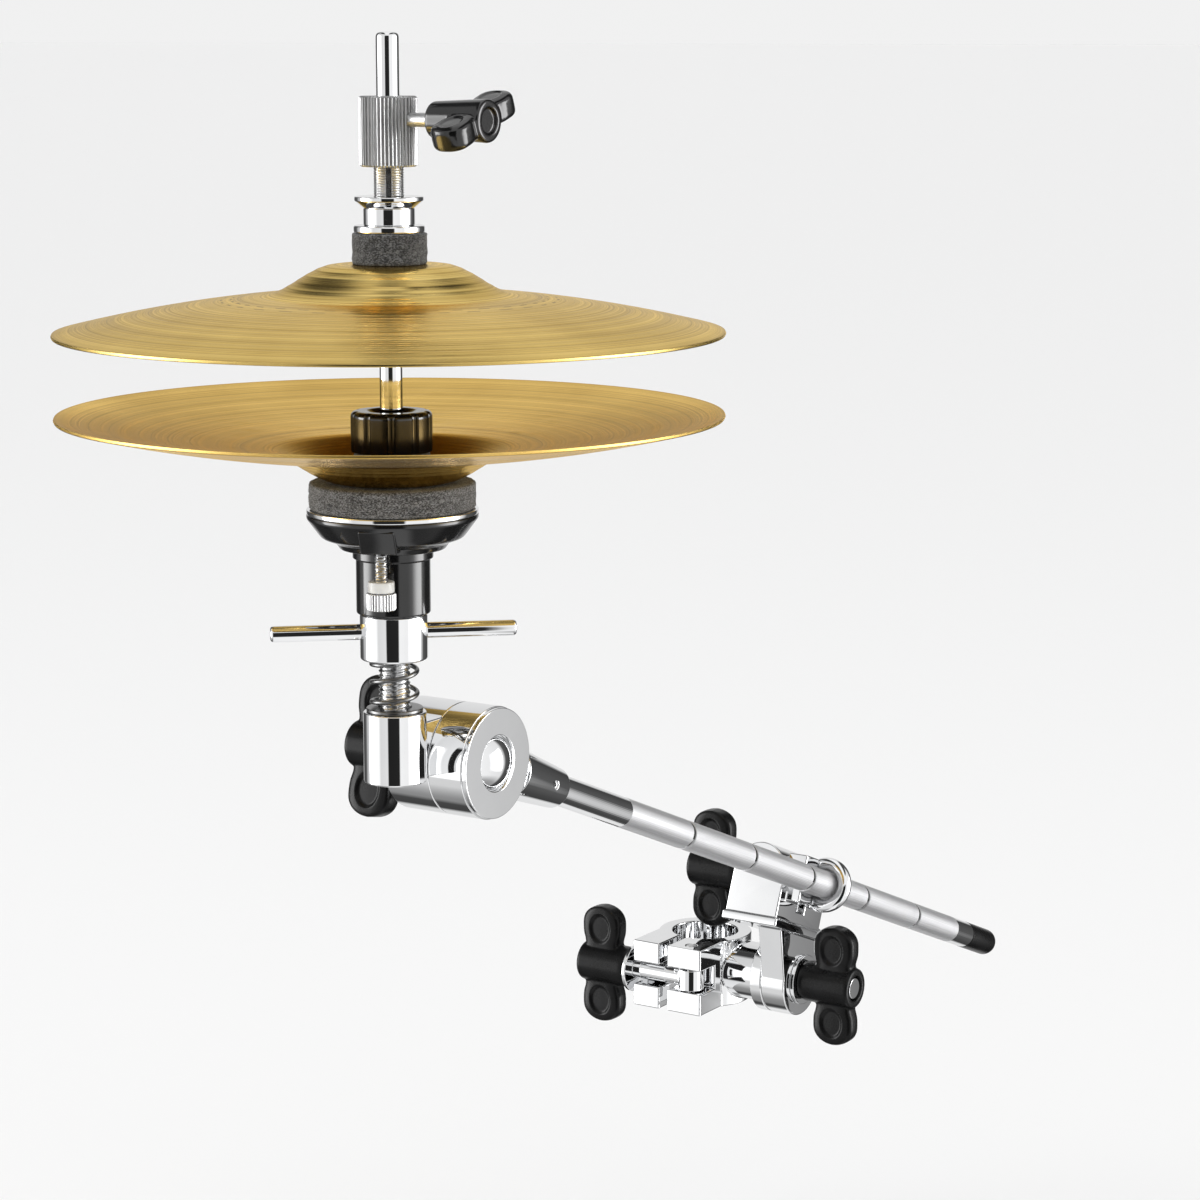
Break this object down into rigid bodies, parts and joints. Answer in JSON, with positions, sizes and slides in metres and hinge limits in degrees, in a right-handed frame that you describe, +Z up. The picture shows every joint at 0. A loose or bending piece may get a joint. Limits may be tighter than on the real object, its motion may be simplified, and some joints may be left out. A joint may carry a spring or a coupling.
{
  "type": "hi hat",
  "caption": "Small hi hat: two thin cymbals on a fixed rod with clutch and adjustable seat, carried by a tilting boom arm that clamps to a stand tube.",
  "frame": {"origin": "centre of the clamp's tube seat, at mid height of the jaws", "axes": "+Z up the stand tube, +X from the cymbals towards the clamp end of the boom arm, -Y towards the ratchet wing nut in front"},
  "size_m": [0.4963, 0.2032, 0.3795],
  "materials": {
    "chrome": "polished chrome plate",
    "satin_steel": "satin, fine knurl or thread",
    "spring_steel": "dark spring wire",
    "black_plastic": "moulded, satin",
    "black_gloss": "moulded, glossy",
    "nylon": "white nylon",
    "felt_dark": "pressed wool felt",
    "felt_grey": "pressed wool felt",
    "brass_top": "lathed with concentric grooves",
    "brass_bottom": "lathed and hammered"
  },
  "bodies": {
    "stand_clamp": {"fixed_jaw": "chrome", "jaw_hinge_pin": "chrome", "swing_bolt_pin": "chrome", "ratchet_bolt": "chrome"},
    "swing_jaw": {"swing_jaw": "chrome"},
    "swing_bolt": {"swing_bolt": "chrome"},
    "jaw_washer": {"jaw_washer": "chrome"},
    "jaw_wing": {"jaw_wing_nut": "black_plastic"},
    "holder": {"arm_holder": "chrome", "eye_bolt": "chrome"},
    "ratchet_washer": {"ratchet_washer": "chrome"},
    "ratchet_wing": {"ratchet_wing_nut": "black_plastic"},
    "eye_washer": {"eye_washer": "chrome"},
    "eye_wing": {"eye_wing_nut": "black_plastic"},
    "boom_end": {"arm_end_cap": "black_plastic"},
    "boom": {"boom_arm": "satin_steel", "arm_roll_pin": "satin_steel", "tilter_arm_half": "chrome", "tilter_cap": "chrome", "tilter_bolt": "chrome"},
    "tilter_washer": {"tilter_washer": "chrome"},
    "tilter_wing": {"tilter_wing_nut": "black_plastic"},
    "post": {"tilter_post_half": "chrome", "threaded_post": "satin_steel", "pull_rod": "chrome", "spring_washer": "satin_steel", "seat_spring": "spring_steel"},
    "seat": {"seat_cup": "black_gloss"},
    "t_handle": {"handle_collar": "chrome", "handle_bars": "chrome"},
    "tilt_collar": {"tilt_collar": "nylon"},
    "tilt_screw": {"tilt_screw": "satin_steel"},
    "seat_plate": {"seat_plate": "chrome", "seat_sleeve": "nylon", "seat_felt_large": "felt_grey", "seat_felt_small": "felt_grey"},
    "bottom_cymbal": {"bottom_cymbal": "brass_bottom"},
    "seat_nut": {"seat_nut": "black_plastic"},
    "clutch": {"clutch_body": "satin_steel", "clutch_tube": "satin_steel", "clutch_washer": "chrome", "clutch_sleeve": "nylon", "clutch_felt_upper": "felt_dark", "clutch_felt_lower": "felt_dark"},
    "clutch_bottom_nut": {"clutch_bottom_nut": "satin_steel"},
    "clutch_lock_nut": {"clutch_lock_nut": "chrome"},
    "clutch_flange_nut": {"clutch_flange_nut": "chrome"},
    "clutch_wing": {"clutch_wing_screw": "satin_steel", "clutch_wing_head": "black_gloss"},
    "top_cymbal": {"top_cymbal": "brass_top"}
  },
  "joints": [
    {"name": "jaw_open", "type": "hinge", "parent": "stand_clamp", "child": "swing_jaw", "pos_m": [0.0185, 0.0026, 0], "axis": [0, 0, 1], "range_deg": [-8.6, 0]},
    {"name": "bolt_swing", "type": "hinge", "parent": "stand_clamp", "child": "swing_bolt", "pos_m": [-0.022, -0.007, 0], "axis": [0, 0, 1], "range_deg": [0, 100]},
    {"name": "jaw_nut_travel", "type": "slide", "parent": "swing_bolt", "child": "jaw_washer", "axis": [0, 1, 0], "range_m": [0, 0.00625]},
    {"name": "jaw_wing_turn", "type": "hinge", "parent": "jaw_washer", "child": "jaw_wing", "pos_m": [-0.022, 0.03, 0], "axis": [0, 1, 0], "range_deg": [0, 1800]},
    {"name": "clamp_ratchet", "type": "hinge", "parent": "stand_clamp", "child": "holder", "pos_m": [0, -0.038, 0], "axis": [0, 1, 0], "range_deg": [-20, 20]},
    {"name": "ratchet_nut_travel", "type": "slide", "parent": "stand_clamp", "child": "ratchet_washer", "axis": [0, -1, 0], "range_m": [0, 0.0025]},
    {"name": "ratchet_wing_turn", "type": "hinge", "parent": "ratchet_washer", "child": "ratchet_wing", "pos_m": [0, -0.055, 0], "axis": [0, -1, 0], "range_deg": [0, 720]},
    {"name": "eye_nut_travel", "type": "slide", "parent": "holder", "child": "eye_washer", "axis": [0, 1, 0], "range_m": [0, 0.0025]},
    {"name": "eye_wing_turn", "type": "hinge", "parent": "eye_washer", "child": "eye_wing", "pos_m": [0, -0.006, 0.0385], "axis": [0, 1, 0], "range_deg": [0, 720]},
    {"name": "boom_slide", "type": "slide", "parent": "holder", "child": "boom_end", "axis": [0.9272, 0, -0.3746], "range_m": [-0.1, 0.08]},
    {"name": "boom_twist", "type": "hinge", "parent": "boom_end", "child": "boom", "pos_m": [0, -0.053, 0.0385], "axis": [0.9272, 0, -0.3746], "range_deg": [-90, 90]},
    {"name": "tilter_nut_travel", "type": "slide", "parent": "boom", "child": "tilter_washer", "axis": [0, 1, 0], "range_m": [0, 0.0025]},
    {"name": "tilter_wing_turn", "type": "hinge", "parent": "tilter_washer", "child": "tilter_wing", "pos_m": [-0.22809, -0.0165, 0.13065], "axis": [0, 1, 0], "range_deg": [0, 720]},
    {"name": "tilter_tilt", "type": "hinge", "parent": "boom", "child": "post", "pos_m": [-0.22809, -0.0405, 0.13065], "axis": [0, 1, 0], "range_deg": [-80, 45]},
    {"name": "seat_lift", "type": "slide", "parent": "post", "child": "seat", "axis": [0, 0, 1], "range_m": [-0.006, 0], "deforming": ["seat_spring"]},
    {"name": "t_handle_turn", "type": "hinge", "parent": "seat", "child": "t_handle", "pos_m": [-0.25409, -0.0405, 0.17495], "axis": [0, 0, 1], "range_deg": [-1440, 0]},
    {"name": "tilt_lift", "type": "slide", "parent": "seat", "child": "tilt_collar", "axis": [0, 0, 1], "range_m": [0, 0.0016]},
    {"name": "tilt_screw_turn", "type": "hinge", "parent": "tilt_collar", "child": "tilt_screw", "pos_m": [-0.2704, -0.04811, 0.18765], "axis": [0, 0, 1], "range_deg": [0, 720]},
    {"name": "seat_tilt", "type": "hinge", "parent": "seat", "child": "seat_plate", "pos_m": [-0.23021, -0.02936, 0.21165], "axis": [-0.4226, 0.9063, 0], "range_deg": [0, 2]},
    {"name": "bottom_cymbal_spin", "type": "hinge", "parent": "seat_plate", "child": "bottom_cymbal", "pos_m": [-0.25409, -0.0405, 0.22765], "axis": [0, 0, 1], "continuous": true},
    {"name": "seat_nut_turn", "type": "hinge", "parent": "seat_plate", "child": "seat_nut", "pos_m": [-0.25409, -0.0405, 0.23665], "axis": [0, 0, 1], "range_deg": [0, 360]},
    {"name": "clutch_slide", "type": "slide", "parent": "post", "child": "clutch", "axis": [0, 0, 1], "range_m": [-0.0237, 0.018]},
    {"name": "clutch_bottom_nut_turn", "type": "hinge", "parent": "clutch", "child": "clutch_bottom_nut", "pos_m": [-0.25409, -0.0405, 0.27265], "axis": [0, 0, 1], "range_deg": [0, 360]},
    {"name": "clutch_lock_nut_turn", "type": "hinge", "parent": "clutch", "child": "clutch_lock_nut", "pos_m": [-0.25409, -0.0405, 0.30165], "axis": [0, 0, 1], "range_deg": [0, 360]},
    {"name": "clutch_flange_nut_turn", "type": "hinge", "parent": "clutch", "child": "clutch_flange_nut", "pos_m": [-0.25409, -0.0405, 0.30565], "axis": [0, 0, 1], "range_deg": [0, 360]},
    {"name": "clutch_wing_turn", "type": "hinge", "parent": "clutch", "child": "clutch_wing", "pos_m": [-0.25409, -0.0675, 0.33065], "axis": [0, -1, 0], "range_deg": [0, 360]},
    {"name": "top_cymbal_spin", "type": "hinge", "parent": "clutch", "child": "top_cymbal", "pos_m": [-0.25409, -0.0405, 0.28265], "axis": [0, 0, 1], "continuous": true}
  ],
  "couplings": [
    {"joint": "jaw_wing_turn", "follows": "jaw_nut_travel", "rad_per_m": 5026.5},
    {"joint": "jaw_open", "follows": "jaw_nut_travel", "rad_per_m": -23.736},
    {"joint": "ratchet_wing_turn", "follows": "ratchet_nut_travel", "rad_per_m": 5026.5},
    {"joint": "eye_wing_turn", "follows": "eye_nut_travel", "rad_per_m": 5026.5},
    {"joint": "tilter_wing_turn", "follows": "tilter_nut_travel", "rad_per_m": 5026.5},
    {"joint": "t_handle_turn", "follows": "seat_lift", "rad_per_m": 4188.8},
    {"joint": "tilt_screw_turn", "follows": "tilt_lift", "rad_per_m": 7854},
    {"joint": "seat_tilt", "follows": "tilt_lift", "rad_per_m": 21.817}
  ]
}
